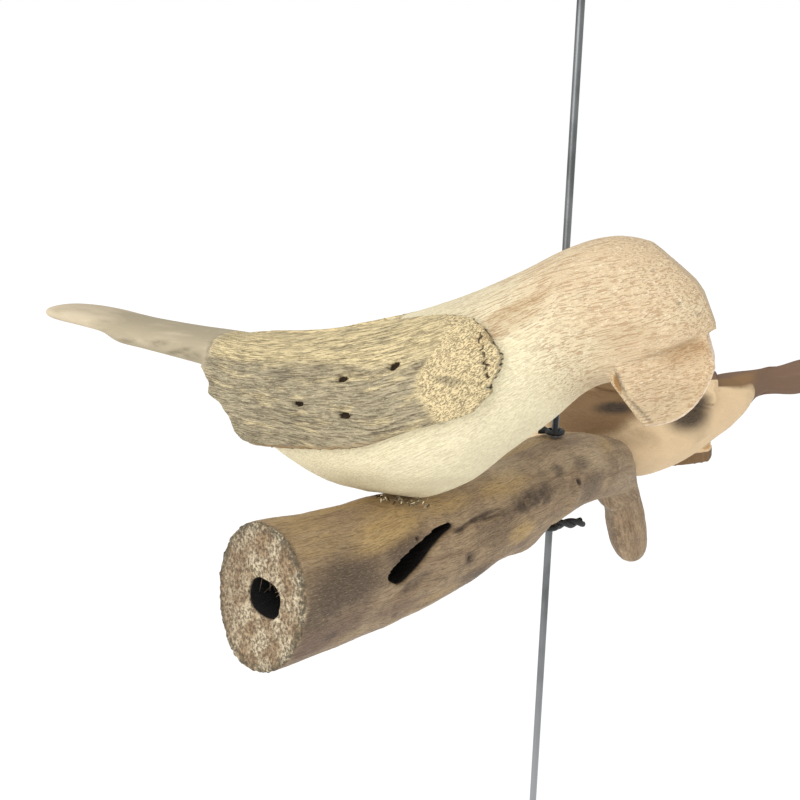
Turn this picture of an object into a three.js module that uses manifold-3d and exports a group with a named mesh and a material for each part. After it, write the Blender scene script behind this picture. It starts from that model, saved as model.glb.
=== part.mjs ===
// Hanging mobile in driftwood: two birds, each carved from one block, perch crosswise on a short limb that is
// strung on a straight steel rod and held there by two twists of soft black wire.
// Millimetres, +Z up. The origin is the inside top of the hanging eye, where a hook carries the mobile.
// +X runs along the limb, from its sawn end to its elbow.

import * as THREE from "three";
import { mergeVertices } from "three/addons/utils/BufferGeometryUtils.js";
import ManifoldModule from "manifold-3d";

// ---------------------------------------------------------------- driving dimensions

const GAP = 0.3; // between pieces that touch

const ROD_DIAMETER = 3;
const EYE_INNER = 13; // inner diameter of the hanging eye
const LOWER_EYE_INNER = 8;
const ROD_ABOVE = 296; // from the hook's seat down to the limb's middle
const ROD_BELOW = 190; // from the limb's middle down to the end of the lower eye

const LIMB_RADIUS = 22;
const SAWN_END = -146; // along X, from the rod
const ELBOW = 50;
const STUB = { length: 45, radius: 9.4, slope: 66 }; // the side shoot below the elbow, sloping down in degrees
const PITH = { width: 16, height: 12, depth: 48 }; // the hole down the middle of the sawn end
const HOLLOW = { length: 34, height: 8, depth: 11, slope: 15 }; // the rotted knot in the near flank, in degrees

const WIRE_DIAMETER = 2.2;

// Each bird's seat on the limb: its place from the rod, the way the bird heads (degrees from +X, seen from above),
// how far it leans to its right and how far its beak dips.
const NEAR_SEAT = { place: new THREE.Vector3(-88, -1, 16.7), heading: -65, lean: 0, dip: 0 };
const FAR_SEAT = { place: new THREE.Vector3(58, 11, -12), heading: 112, lean: 55, dip: 13 };

// ---------------------------------------------------------------- finishes

const finish = (color, roughness, metalness = 0) => new THREE.MeshStandardMaterial({ color, roughness, metalness });
const CARVED_WOOD = finish(0xe3d2b0, 0.8);
const LIMB_WOOD = finish(0xa28967, 0.85);
const DARK_STEEL = finish(0x55585b, 0.35, 1);
const BLACK_WIRE = finish(0x16181a, 0.55);

// ---------------------------------------------------------------- helpers

const wasm = await ManifoldModule();
wasm.setup();
const { Manifold, Mesh: ManifoldMesh } = wasm;

const clamp01 = (t) => Math.min(1, Math.max(0, t));
const lerp = (a, b, t) => a + (b - a) * t;
const smooth = (t) => clamp01(t) ** 2 * (3 - 2 * clamp01(t));
const roundedEnd = (t, blunt) => Math.max(0, 1 - Math.abs(t) ** blunt) ** (1 / blunt);

// A smooth curve through rows [x, value, value, ...]: returns a function of x that gives the values.
function through(rows) {
  const slope = (i, k) => {
    const before = rows[Math.max(0, i - 1)];
    const after = rows[Math.min(rows.length - 1, i + 1)];
    return (after[k] - before[k]) / (after[0] - before[0]);
  };
  return (x) => {
    let i = 0;
    while (i < rows.length - 2 && x > rows[i + 1][0]) i += 1;
    const [p, q] = [rows[i], rows[i + 1]];
    const h = q[0] - p[0];
    const t = clamp01((x - p[0]) / h);
    return p.slice(1).map((v, j) => {
      const k = j + 1;
      const rise = t * t * (3 - 2 * t);
      const leave = t * (1 - t) ** 2 * h * slope(i, k);
      const arrive = t * t * (t - 1) * h * slope(i + 1, k);
      return lerp(v, q[k], rise) + leave + arrive;
    });
  };
}

// Moves every vertex of a geometry by a function of its place, and welds the seams.
function warp(geometry, place) {
  geometry.deleteAttribute("uv");
  geometry.deleteAttribute("normal");
  const welded = mergeVertices(geometry, 1e-4);
  const points = welded.attributes.position;
  const p = new THREE.Vector3();
  for (let i = 0; i < points.count; i += 1) {
    p.fromBufferAttribute(points, i);
    points.setXYZ(i, ...place(p.x, p.y, p.z));
  }
  return welded;
}

function toSolid(geometry) {
  const welded = warp(geometry, (x, y, z) => [x, y, z]);
  return new Manifold(
    new ManifoldMesh({
      numProp: 3,
      vertProperties: Float32Array.from(welded.attributes.position.array),
      triVerts: Uint32Array.from(welded.index.array),
    }),
  );
}

function toGeometry(solid) {
  const mesh = solid.getMesh();
  const geometry = new THREE.BufferGeometry();
  geometry.setAttribute("position", new THREE.BufferAttribute(mesh.vertProperties, mesh.numProp));
  geometry.setIndex(new THREE.BufferAttribute(mesh.triVerts, 1));
  geometry.computeVertexNormals();
  return geometry;
}

// A closed long form along X. section(x) gives [bottom, top, half width]; square > 2 makes the section boxier and
// blunt sets how suddenly the ends round off.
function longForm({ from, to, section, sides, rings, blunt = 6, square = 2, trim = (x, z) => z }) {
  return warp(new THREE.SphereGeometry(1, sides, rings), (sx, sy, sz) => {
    const x = lerp(from, to, (1 - sy) / 2);
    const [bottom, top, half] = section(x);
    const around = Math.atan2(sz, sx);
    const cap = roundedEnd(sy, blunt);
    const [c, s] = [Math.cos(around), Math.sin(around)];
    const swell = (Math.abs(c) ** square + Math.abs(s) ** square) ** (-1 / square);
    const z = lerp(bottom, top, 0.5 + 0.5 * swell * s * cap);
    return [x, half * swell * c * cap, trim(x, z)];
  });
}

// A bar of round section along a curve.
function bar(path, diameter, steps, sides) {
  const section = new THREE.Shape().absarc(0, 0, diameter / 2, 0, 2 * Math.PI);
  return new THREE.ExtrudeGeometry(section, { extrudePath: path, steps, curveSegments: sides / 2, bevelEnabled: false });
}

// ---------------------------------------------------------------- the bird

// Local frame: +X to the beak, +Z up, the origin in the middle of the belly's flat.
// The block's outline: [x, bottom, top, half width] from rump to brow.
const BLOCK = through([
  [-78, 40, 48.5, 7],
  [-64, 30, 49.5, 13],
  [-50, 16.5, 50.5, 19],
  [-34, 6.6, 51.2, 24],
  [-14, -0.1, 54.8, 27],
  [4, -0.8, 60, 28],
  [22, 7.5, 67.5, 27],
  [36, 22.5, 75, 23.5],
  [48, 35, 81.5, 19.5],
  [58, 42.5, 85.5, 17.5],
  [66, 45, 86, 17],
  [75, 46.5, 82.5, 15.5],
  [83, 49.5, 76.5, 13],
  [88.5, 54.5, 70, 10],
  [91.5, 59.5, 63, 6],
]);

// The line under the brow, where the beak is cut back from the round of the head.
const THROAT = 65;
const browLine = (x) => lerp(50, 60.5, clamp01((x - THROAT) / 28));

function headAndBody(sides, rings) {
  const trim = (x, z) => Math.max(z, x > THROAT ? browLine(x) : 0);
  return longForm({ from: -78, to: 91.5, section: BLOCK, sides, rings, blunt: 7, trim });
}

// The beak: a deep wedge, flat at the cheeks, narrowing to the front.
function beak() {
  const outline = new THREE.Shape();
  outline.moveTo(THROAT - 0.5, 45.5);
  outline.lineTo(74.5, 33.5);
  outline.quadraticCurveTo(89, 34.5, 91.8, 52);
  outline.lineTo(89, 60);
  outline.lineTo(80, 66);
  outline.lineTo(THROAT - 3, 60);
  const chamfer = 3;
  const cheek = 13.4;
  const wedge = new THREE.ExtrudeGeometry(outline, {
    depth: 2 * (cheek - chamfer),
    curveSegments: 8,
    bevelThickness: chamfer,
    bevelSize: chamfer,
    bevelOffset: -chamfer,
    bevelSegments: 2,
  });
  return warp(wedge, (x, y, z) => {
    const narrowing = lerp(1, 0.5, clamp01((x - THROAT) / 29));
    return [x, -(z - cheek + chamfer) * narrowing, y];
  });
}

// The tail: the natural skin of the wood, left as a thin upswept blade.
function tail() {
  const section = through([
    [-142, 52.6, 55.4, 6.5],
    [-132, 51, 56, 8.5],
    [-120, 48, 55.2, 9.6],
    [-112, 45, 54.2, 10],
    [-98, 42.6, 52.4, 10.4],
    [-78, 39.6, 50.6, 12],
    [-50, 35, 49.5, 14],
  ]);
  return longForm({ from: -142, to: -50, section, sides: 14, rings: 16, blunt: 4, square: 3 });
}

// A wing: a slab of natural skin wrapped round one flank, blunt in front and standing clear behind the rump.
const WING_SHELL = through([
  [-66, 29, 51, 19],
  [-50, 28, 51.4, 24],
  [-30, 29, 52.9, 28.6],
  [0, 29.5, 59.9, 31.4],
  [22, 37, 69, 30.6],
  [38, 48.5, 77.5, 27],
]);
// The slab's lower and upper edges, [x, degrees round the shell], and its rear and front ends, [share of the way up, x].
const WING_LOWER = through([[-67, -26], [-50, -24], [-36, -23], [-22, -16.5], [-2, -6.5], [10, -3], [21, -4.5], [36, -11]]);
const WING_UPPER = through([[-67, 58], [-50, 78], [-24, 80], [-3, 73], [16, 57.5], [29, 43], [36, 34]]);
const WING_REAR = through([[0, -44], [0.05, -49.5], [0.17, -52], [0.3, -56], [0.4, -61.5], [0.52, -63], [0.68, -67], [1, -66]]);
const WING_FRONT = through([[0, 30], [0.12, 34.5], [0.3, 35.6], [0.55, 36.2], [0.72, 33.4], [0.85, 31.2], [1, 26]]);

// sweep is how much of the rear end's slant the wing keeps, from 0 to 1.
function wing(side, sweep) {
  const slab = new THREE.BoxGeometry(1, 1, 1, 15, 8, 1);
  const shoulder = -54;
  return warp(slab, (bx, by, bz) => {
    const [u, v, outer] = [bx + 0.5, by + 0.5, bz > 0];
    const rear = lerp(shoulder, WING_REAR(v)[0], sweep);
    const x = lerp(rear, WING_FRONT(v)[0], u);
    const angle = THREE.MathUtils.degToRad(lerp(WING_LOWER(x)[0], WING_UPPER(x)[0], v));
    const [middle, top, half] = WING_SHELL(x);
    const depth = outer ? 0 : 7;
    const y = (half - depth) * Math.cos(angle);
    const z = middle + (top - middle - depth) * Math.sin(angle);
    return [x, side * y, z];
  });
}

function bird(sweep) {
  const wings = [1, -1].map((side) => {
    const geometry = wing(side, sweep);
    if (side > 0) geometry.index.array.reverse();
    return toSolid(geometry);
  });
  const pieces = [toSolid(headAndBody(22, 28)), toSolid(beak()), toSolid(tail()), ...wings];
  return toGeometry(Manifold.union(pieces));
}

const turned = ({ heading, lean, dip }) => new THREE.Euler(...[lean, dip, heading].map(THREE.MathUtils.degToRad), "ZXY");
const upOf = (seat) => new THREE.Vector3(0, 0, 1).applyEuler(turned(seat));

function perched(name, geometry, seat) {
  const mesh = new THREE.Mesh(geometry, CARVED_WOOD);
  mesh.name = name;
  mesh.rotation.copy(turned(seat));
  mesh.position.copy(seat.place).addScaledVector(upOf(seat), GAP);
  return mesh;
}

// ---------------------------------------------------------------- the limb

// Rows [x, middle y, middle z, half width, half height] along the limb.
const LIMB = through([
  [SAWN_END, 0, -1, LIMB_RADIUS - 0.6, LIMB_RADIUS],
  [-112, 0, -3, 21, 20.6],
  [-89, 0, -3.4, 21, 19.8],
  [-64, -0.5, -2.8, 21, 19.2],
  [-34, -0.5, -0.8, 19.6, 17.2],
  [0, 0, -0.3, 19, 17],
  [26, 0, -0.8, 17.7, 14.6],
  [ELBOW, 3, -6, 15.5, 14.6],
  [62, 5.6, -11.5, 12.5, 12.2],
]);

function limb() {
  const dip = NEAR_SEAT.place;
  const saddle = (x) => dip.z + 0.25 * Math.max(0, Math.abs(x - dip.x) - 13);
  const place = (x, c, s) => {
    const [my, mz, hy, hz] = LIMB(x);
    const lump = 1 + 0.025 * Math.sin(3 * Math.atan2(s, c) + x / 21) + 0.015 * Math.sin(x / 9);
    return [x, my + hy * lump * c, Math.min(mz + hz * lump * s, saddle(x))];
  };
  const trunk = warp(new THREE.SphereGeometry(1, 24, 32), (sx, sy, sz) => {
    const around = Math.atan2(sz, sx);
    const cap = roundedEnd(sy, 9);
    return place(lerp(SAWN_END - 25, 64, (1 - sy) / 2), Math.cos(around) * cap, Math.sin(around) * cap);
  });
  const stub = longForm({
    from: 0,
    to: STUB.length + 10,
    section: () => [-STUB.radius, STUB.radius, STUB.radius],
    sides: 14,
    rings: 10,
    blunt: 3,
  });
  stub.rotateY(THREE.MathUtils.degToRad(STUB.slope));
  stub.translate(ELBOW, 0, -7);
  const bore = new THREE.CylinderGeometry(ROD_DIAMETER / 2 + GAP, ROD_DIAMETER / 2 + GAP, 100, 16).rotateX(Math.PI / 2);
  const pith = new THREE.CylinderGeometry(0.5, 0.3, 2 * PITH.depth, 14).rotateZ(Math.PI / 2);
  pith.scale(1, PITH.width, PITH.height).translate(SAWN_END, -1, -0.5);
  const hollow = new THREE.SphereGeometry(0.5, 14, 8).scale(HOLLOW.length, 2 * HOLLOW.depth, HOLLOW.height);
  hollow.rotateY(THREE.MathUtils.degToRad(-HOLLOW.slope));
  hollow.translate(-97, 1 - LIMB_RADIUS, 4.3);
  const sawn = toSolid(trunk).trimByPlane([1, 0, 0], SAWN_END);
  const up = upOf(FAR_SEAT);
  const down = up.clone().negate().toArray();
  const wood = Manifold.union([sawn, toSolid(stub)]).trimByPlane(down, -FAR_SEAT.place.dot(up));
  return toGeometry(wood.subtract(Manifold.union([toSolid(bore), toSolid(pith), toSolid(hollow)])));
}

// ---------------------------------------------------------------- rod and wire

// The rod's line: a straight length with its ends bent round into eyes. Most samples go to the bends.
class RodLine extends THREE.Curve {
  constructor() {
    super();
    this.top = (EYE_INNER + ROD_DIAMETER) / 2;
    this.low = (LOWER_EYE_INNER + ROD_DIAMETER) / 2;
  }
  // An eye of radius r, entered from below: a kick to one side and a turn back round to the neck.
  eye(r, t) {
    const kick = 0.18;
    if (t < kick) {
      const k = t / kick;
      return [-r * 0.72 * smooth(k), -r * lerp(1.9, 0.694, k)];
    }
    const turn = lerp(THREE.MathUtils.degToRad(226), THREE.MathUtils.degToRad(-62), (t - kick) / (1 - kick));
    return [r * Math.cos(turn), r * Math.sin(turn)];
  }
  getPoint(t, target = new THREE.Vector3()) {
    const share = 0.46;
    if (t < share) {
      const [x, z] = this.eye(this.low, 1 - t / share);
      return target.set(-x, 0, -ROD_BELOW + this.low - z);
    }
    if (t > 1 - share) {
      const [x, z] = this.eye(this.top, (t - 1 + share) / share);
      return target.set(x, 0, ROD_ABOVE - EYE_INNER / 2 + z);
    }
    const k = (t - share) / (1 - 2 * share);
    const bottom = -ROD_BELOW + this.low * 2.9;
    const top = ROD_ABOVE - EYE_INNER / 2 - this.top * 1.9;
    return target.set(0, 0, lerp(bottom, top, k));
  }
  getUtoTmapping(u) {
    return u;
  }
}

// A tie: a turn of wire round the rod, its two ends twisted together into a short tail, and a loose turn of it
// standing up along the rod.
function wireTie({ height, heading, length, riser }) {
  const reach = ROD_DIAMETER / 2 + GAP + WIRE_DIAMETER / 2;
  const ring = new THREE.TorusGeometry(reach, WIRE_DIAMETER / 2, 6, 14);
  const strands = [0, Math.PI].map((start) => {
    class Twist extends THREE.Curve {
      getPoint(t, target = new THREE.Vector3()) {
        const turn = start + t * length * 1.05;
        const spread = WIRE_DIAMETER * 0.42;
        return target.set(reach + t * length, spread * Math.cos(turn), spread * Math.sin(turn));
      }
    }
    return toSolid(bar(new Twist(), WIRE_DIAMETER, 12, 6));
  });
  const loose = new THREE.CapsuleGeometry(WIRE_DIAMETER / 2, riser, 2, 8).rotateX(Math.PI / 2);
  loose.translate(-reach, 0, riser / 2);
  const tie = toGeometry(Manifold.union([toSolid(ring), toSolid(loose), ...strands]));
  tie.rotateZ(THREE.MathUtils.degToRad(heading));
  tie.translate(0, 0, height);
  return tie;
}

// ---------------------------------------------------------------- the mobile

function named(name, geometry, material) {
  const mesh = new THREE.Mesh(geometry, material);
  mesh.name = name;
  return mesh;
}

const mobile = new THREE.Group();
mobile.position.z = -ROD_ABOVE;
mobile.add(
  named("rod", bar(new RodLine(), ROD_DIAMETER, 44, 10), DARK_STEEL),
  named("limb", limb(), LIMB_WOOD),
  perched("near_bird", bird(1), NEAR_SEAT),
  perched("far_bird", bird(0.2), FAR_SEAT),
  named("upper_wire_tie", wireTie({ height: 19.5, heading: 98, length: 4.5, riser: 7 }), BLACK_WIRE),
  named("lower_wire_tie", wireTie({ height: -21.5, heading: -8, length: 19, riser: 2 }), BLACK_WIRE),
);

const object = new THREE.Group();
object.add(mobile);
export default object;
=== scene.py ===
# %% [markdown]
# # A driftwood mobile
# Two birds, each carved from one block, sit crosswise on a short limb that is strung on a steel rod. The
# carver left the silvery natural skin of the wood on wings and tail and cut the rest back to clean, pale
# wood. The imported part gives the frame: where every piece is and how big it is. This script dresses it,
# piece by piece.

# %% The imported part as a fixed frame
import math
import random
from types import SimpleNamespace

import bmesh
import bpy
import numpy as np
from mathutils import Matrix, Vector, noise


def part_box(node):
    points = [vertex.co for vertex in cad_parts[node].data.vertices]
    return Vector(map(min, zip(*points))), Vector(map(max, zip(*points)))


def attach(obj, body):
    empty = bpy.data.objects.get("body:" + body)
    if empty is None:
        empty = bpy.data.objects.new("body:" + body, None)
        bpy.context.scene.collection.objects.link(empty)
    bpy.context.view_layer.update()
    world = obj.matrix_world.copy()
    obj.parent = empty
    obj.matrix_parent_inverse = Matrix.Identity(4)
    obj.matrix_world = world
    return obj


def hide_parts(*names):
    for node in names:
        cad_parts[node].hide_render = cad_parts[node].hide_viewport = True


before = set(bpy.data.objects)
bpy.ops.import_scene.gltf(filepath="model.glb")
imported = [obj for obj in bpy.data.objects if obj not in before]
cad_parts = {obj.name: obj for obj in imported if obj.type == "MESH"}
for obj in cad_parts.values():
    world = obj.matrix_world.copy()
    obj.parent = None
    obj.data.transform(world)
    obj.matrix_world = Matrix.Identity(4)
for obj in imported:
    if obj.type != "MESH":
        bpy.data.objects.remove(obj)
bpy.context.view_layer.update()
CROSSING = Vector((0, 0, -0.296))  # where the rod passes through the middle of the limb

# %% [markdown]
# ## The camera
# The view is a close one, a little above the limb and looking down on it, so a wide lens stands near the
# birds. A camera looks along its own -Z, so its matrix is made from three directions: right, up and
# backwards. The view leans by less than a degree, which is a turn about the line of sight.

# %% Camera
PITCH = math.radians(14.0)
LEAN = math.radians(0.65)
STANDPOINT = Vector((-0.2680, -0.1779, 0.1118))  # from the crossing
forward = Vector((math.cos(PITCH) * math.sqrt(0.5), math.cos(PITCH) * math.sqrt(0.5), -math.sin(PITCH)))
level = Vector((math.sqrt(0.5), -math.sqrt(0.5), 0))
upright = level.cross(forward)
right = level * math.cos(LEAN) + upright * math.sin(LEAN)
up = upright * math.cos(LEAN) - level * math.sin(LEAN)

camera = bpy.data.objects.new("camera", bpy.data.cameras.new("camera"))
camera.data.sensor_width = 36
camera.data.lens = 36
camera.data.clip_start = 0.01
camera.matrix_world = Matrix((right, up, -forward)).transposed().to_4x4()
camera.location = CROSSING + STANDPOINT
bpy.context.scene.collection.objects.link(camera)
bpy.context.scene.camera = camera
print("camera", [round(v, 4) for v in camera.location])

# %% [markdown]
# ## Numbers in millimetres
# A carver thinks in millimetres, so every shape below is worked out in them and made into metres at the
# very end. The forms are loose and organic, and the simplest honest way to describe one is a table of
# sections along its length with a smooth curve drawn through the rows.

# %% Small helpers for shapes
MM = 0.001
BETWEEN_SEEDS = 17.3  # how far apart two seeds read the same noise


def lerp(a, b, t):
    return a + (b - a) * t


def smooth(t):
    t = np.clip(t, 0, 1)
    return t * t * (3 - 2 * t)


def step(value, low, high):
    """0 below low, 1 above high, smooth between them."""
    return smooth((value - low) / (high - low))


def rounded_end(t, blunt):
    """The girth of a closed end: 1 at t = 0 and 0 at t = 1, squarer the larger blunt is."""
    return np.maximum(0, 1 - np.abs(t) ** blunt) ** (1 / blunt)


def through(rows):
    """A smooth curve through rows (x, value, value, ...): a function of x that gives one array a value."""
    rows = np.array(rows, float)
    xs, ys = rows[:, 0], rows[:, 1:]
    slope = np.empty_like(ys)
    slope[1:-1] = (ys[2:] - ys[:-2]) / (xs[2:] - xs[:-2])[:, None]
    slope[0] = (ys[1] - ys[0]) / (xs[1] - xs[0])
    slope[-1] = (ys[-1] - ys[-2]) / (xs[-1] - xs[-2])

    def values(x):
        i = np.clip(np.searchsorted(xs, x) - 1, 0, len(xs) - 2)
        h = xs[i + 1] - xs[i]
        t = np.clip((x - xs[i]) / h, 0, 1)
        out = []
        for k in range(ys.shape[1]):
            blend = lerp(ys[i, k], ys[i + 1, k], smooth(t))
            leave = t * (1 - t) ** 2 * h * slope[i, k]
            arrive = t * t * (t - 1) * h * slope[i + 1, k]
            out.append(blend + leave + arrive)
        return out if len(out) > 1 else out[0]

    return values


def wander(points, size, seed=0.0):
    """Smooth random values from about -1 to 1 that change over size millimetres."""
    return np.array([noise.noise(p) for p in (points / size + seed * BETWEEN_SEEDS).tolist()])


# %% [markdown]
# ## From a ball to a bird's body
# A closed long form is a ball whose vertices are pulled to new places: one pole to each end of the form,
# every ring to the section that the table gives there. A ball is closed from the start, so nothing has to
# be capped. The same helper makes the body, the tail, the stub of the limb, the pith hole and the hollow of
# the knot.

# %% The long form
def where(verts):
    return np.array([v.co[:] for v in verts])


def put(verts, x, y, z):
    for v, place in zip(verts, np.stack([x, y, z], axis=1).tolist()):
        v.co = place


def long_form(bm, start, end, section, sides, rings, blunt=6, square=2, trim=None):
    """A closed form along X. section(x) gives bottom, top and half width; square above 2 makes it boxier."""
    verts = bmesh.ops.create_uvsphere(bm, u_segments=sides, v_segments=rings, radius=1)["verts"]
    ball = where(verts)
    x = lerp(start, end, (1 + ball[:, 2]) / 2)
    bottom, top, half = section(x)
    around = np.arctan2(ball[:, 1], ball[:, 0])
    cap = rounded_end(ball[:, 2], blunt)
    c, s = np.cos(around), np.sin(around)
    swell = (np.abs(c) ** square + np.abs(s) ** square) ** (-1 / square)
    z = lerp(bottom, top, 0.5 + 0.5 * swell * s * cap)
    put(verts, x, half * swell * c * cap, z if trim is None else trim(x, z))
    return verts


BLOCK = through([  # x, bottom, top, half width
    [-78, 40, 48.5, 7],
    [-64, 30, 49.5, 13],
    [-50, 16.5, 50.5, 19],
    [-34, 6.6, 51.2, 24],
    [-14, -0.1, 55.6, 27],
    [4, -0.8, 61.3, 28],
    [22, 7.2, 68.2, 27],
    [36, 20.0, 75, 24],
    [48, 31.0, 81.5, 21],
    [58, 41.0, 85.2, 18.5],
    [66, 44.4, 85.9, 17.5],
    [75, 46, 83.6, 16],
    [83, 49.5, 79.0, 14],
    [88.5, 54.5, 73, 11],
    [92.5, 58.5, 64, 8],
])
RUMP, FOREHEAD = -78, 92.5
THROAT = 65
KEEL = 2.2  # how far the belly rises beside its keel


def brow_line(x):
    """The straight cut under the head, above the beak."""
    return lerp(50, 63, np.clip((x - THROAT) / 28, 0, 1))


def head_and_body(bm):
    def trim(x, z):
        return np.maximum(z, np.where(x > THROAT, brow_line(x), 0))

    verts = long_form(bm, RUMP, FOREHEAD, BLOCK, 200, 260, blunt=9, trim=trim)
    x, y, z = where(verts).T
    beside = KEEL * step(np.abs(y), 2, 10) * step(x, -24, -4) * (1 - step(x, 20, 30)) * (1 - step(z, 6, 16))
    put(verts, x, y, z + beside)


TAIL_TIP, TAIL_ROOT = -142, -50
TAIL = through([  # x, bottom, top, half width
    [-142, 50.6, 55.6, 7.5],
    [-136, 50, 56.2, 9],
    [-126, 49, 55.9, 9.6],
    [-117, 47.8, 55, 10],
    [-112, 46.6, 54.3, 10.2],
    [-107, 43.8, 53.6, 10.3],
    [-98, 42.4, 52.4, 10.4],
    [-78, 39.6, 50.6, 12],
    [-50, 35, 49.5, 14],
])


def tail(bm):
    long_form(bm, TAIL_TIP, TAIL_ROOT, TAIL, 90, 160, blunt=5, square=2.6)


# %% [markdown]
# ## The beak
# The beak is a deep wedge, sawn flat at the cheeks and chamfered all round with a knife. A face with that
# outline is extruded to a slab, and an inset that also lifts the middle of each cheek is exactly a chamfer.
# Narrowing it towards the front is then one formula on its vertices.

# %% Beak
CHEEK = 13.4  # half the beak's width at the throat
CHAMFER = 3.0
BEAK = 29  # its length from the throat
TIP_WIDTH = 0.5  # as a share of the width at the throat


def beak(bm):
    heel, corner, bill = Vector((74.5, 33.5)), Vector((89, 34.5)), Vector((91.8, 52))
    curve = [heel * (1 - t) ** 2 + corner * 2 * t * (1 - t) + bill * t * t for t in np.linspace(0, 1, 12)]
    outline = [(THROAT - 0.5, 45.5), *curve, (89, 60), (80, 66), (THROAT - 3, 60)]
    flat = CHEEK - CHAMFER
    first = bm.faces.new([bm.verts.new((x, flat, z)) for x, z in outline])
    grown = bmesh.ops.extrude_face_region(bm, geom=[first])["geom"]
    moved = [g for g in grown if isinstance(g, bmesh.types.BMVert)]
    bmesh.ops.translate(bm, verts=moved, vec=(0, -2 * flat, 0))
    second = next(g for g in grown if isinstance(g, bmesh.types.BMFace))
    shell = list({f for v in first.verts[:] + second.verts[:] for f in v.link_faces})
    bmesh.ops.recalc_face_normals(bm, faces=shell)
    verts = set(first.verts[:] + second.verts[:])
    for cheek in (first, second):
        bmesh.ops.inset_region(bm, faces=[cheek], thickness=CHAMFER, depth=CHAMFER, use_even_offset=True)
        verts |= set(cheek.verts)
    verts = list(verts)
    place = where(verts)
    narrowing = lerp(1, TIP_WIDTH, np.clip((place[:, 0] - THROAT) / BEAK, 0, 1))
    put(verts, place[:, 0], place[:, 1] * narrowing, place[:, 2])


# %% [markdown]
# ## The wings
# Each wing is a slab of the branch's own surface, wrapped round the flank and standing 2 to 4 mm proud of
# the cut wood. A grid is warped onto a shell round the body, extruded inwards for its thickness, and its
# four edges follow tables: a lower edge, an upper edge, a slanting rear end and a ragged front where the
# skin broke away.

# %% Wing slabs
SHELL = through([  # x, middle height, top, half width
    [-66, 29, 51, 19],
    [-50, 28, 51.4, 24],
    [-30, 29, 53.3, 28.6],
    [0, 29.5, 61.2, 31.4],
    [22, 37, 69.8, 30.6],
    [38, 48.5, 77.5, 27],
])
# The lower and upper edges: x, degrees round the shell.
LOWER = through([
    [-67, -28], [-50, -27], [-36, -26.5], [-22, -19.5], [-2, -8.5], [10, -3.6], [21, -4.5], [36, -11],
])
UPPER = through([[-67, 58], [-50, 78], [-24, 80], [-3, 75.5], [16, 60.5], [29, 44.5], [36, 35]])
# The rear and front ends: share of the height, x.
REAR = through([
    [0, -44], [0.05, -49.5], [0.17, -52], [0.3, -56], [0.4, -61.5], [0.52, -63], [0.68, -67], [1, -66],
])
FRONT = through([
    [0, 30], [0.12, 34.5], [0.22, 33.4], [0.3, 35.6], [0.55, 36.2], [0.72, 33.4], [0.85, 31.2], [1, 26],
])
UNSWEPT = -54  # where the rear end of a wing with no sweep is cut off
SLAB = 7  # how deep the slab reaches into the body


def rear_end(v, sweep):
    bite = 0.5 * np.sin(31 * v + 1) * np.sin(11 * v)
    return lerp(UNSWEPT, REAR(v), sweep) + bite


def front_end(v):
    coarse = 0.55 * np.sin(67 * v + 1.3) * np.sin(19 * v + 0.4)
    fine = 0.4 * np.sin(131 * v + 2) * np.sin(37 * v)
    return FRONT(v) + 1.1 * (coarse + fine)


def on_shell(x, angle, depth):
    """Half width and height of a point depth millimetres under the shell."""
    middle, top, half = SHELL(x)
    turn = np.radians(angle)
    return (half - depth) * np.cos(turn), middle + (top - middle - depth) * np.sin(turn)


def wing(bm, side, sweep):
    outer = bmesh.ops.create_grid(bm, x_segments=150, y_segments=110, size=0.5)["verts"]
    faces = list({f for v in outer for f in v.link_faces})
    grown = bmesh.ops.extrude_face_region(bm, geom=faces)["geom"]
    inner = [g for g in grown if isinstance(g, bmesh.types.BMVert)]
    for verts, depth in ((outer, 0), (inner, SLAB)):
        u, v, _ = (where(verts) + 0.5).T
        x = lerp(rear_end(v, sweep), front_end(v), u)
        y, z = on_shell(x, lerp(LOWER(x), UPPER(x), v), depth)
        put(verts, x, side * y, z)


# %% [markdown]
# ## One skin
# A bird is one block of wood, so its forms are welded to one closed skin. Booleans would leave long thin
# triangles that can't be carved further. A voxel remesh gives an even skin instead, fine enough for worm
# holes and torn edges, and a little smoothing takes the steps of the voxels away as sandpaper would.

# %% Welding by voxels
def solid_from(bm, name):
    mesh = bpy.data.meshes.new(name)
    bmesh.ops.recalc_face_normals(bm, faces=bm.faces)
    bm.to_mesh(mesh)
    bm.free()
    return bpy.data.objects.new(name, mesh)


def evaluated(obj):
    """The object's mesh with its modifiers applied, and the object gone."""
    bpy.context.scene.collection.objects.link(obj)
    graph = bpy.context.evaluated_depsgraph_get()
    mesh = bpy.data.meshes.new_from_object(obj.evaluated_get(graph), depsgraph=graph)
    bpy.data.objects.remove(obj)
    return mesh


def weld(obj, voxel):
    remesh = obj.modifiers.new("voxels", "REMESH")
    remesh.mode = "VOXEL"
    remesh.voxel_size = voxel
    return evaluated(obj)


def sanded(mesh, passes, about=None, reach=0):
    """Smooths the whole mesh, or only what lies within reach of a point."""
    bm = bmesh.new()
    bm.from_mesh(mesh)
    verts = [v for v in bm.verts if about is None or (v.co - Vector(about)).length < reach]
    for _ in range(passes):
        bmesh.ops.smooth_vert(bm, verts=verts, factor=0.5, use_axis_x=True, use_axis_y=True, use_axis_z=True)
    bm.to_mesh(mesh)
    bm.free()
    return mesh


def arrays(mesh):
    """The places and normals of a mesh's vertices."""
    count = len(mesh.vertices)
    places, normals = np.zeros(count * 3), np.zeros(count * 3)
    mesh.vertices.foreach_get("co", places)
    mesh.vertices.foreach_get("normal", normals)
    return places.reshape(-1, 3), normals.reshape(-1, 3)


def mark(mesh, name, values):
    """Keeps a number, or a point, for every vertex, for the finish to read."""
    kind, key = ("FLOAT", "value") if values.ndim == 1 else ("FLOAT_VECTOR", "vector")
    layer = mesh.attributes.new(name, kind, "POINT")
    layer.data.foreach_set(key, values.astype(np.float32).ravel())


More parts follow.
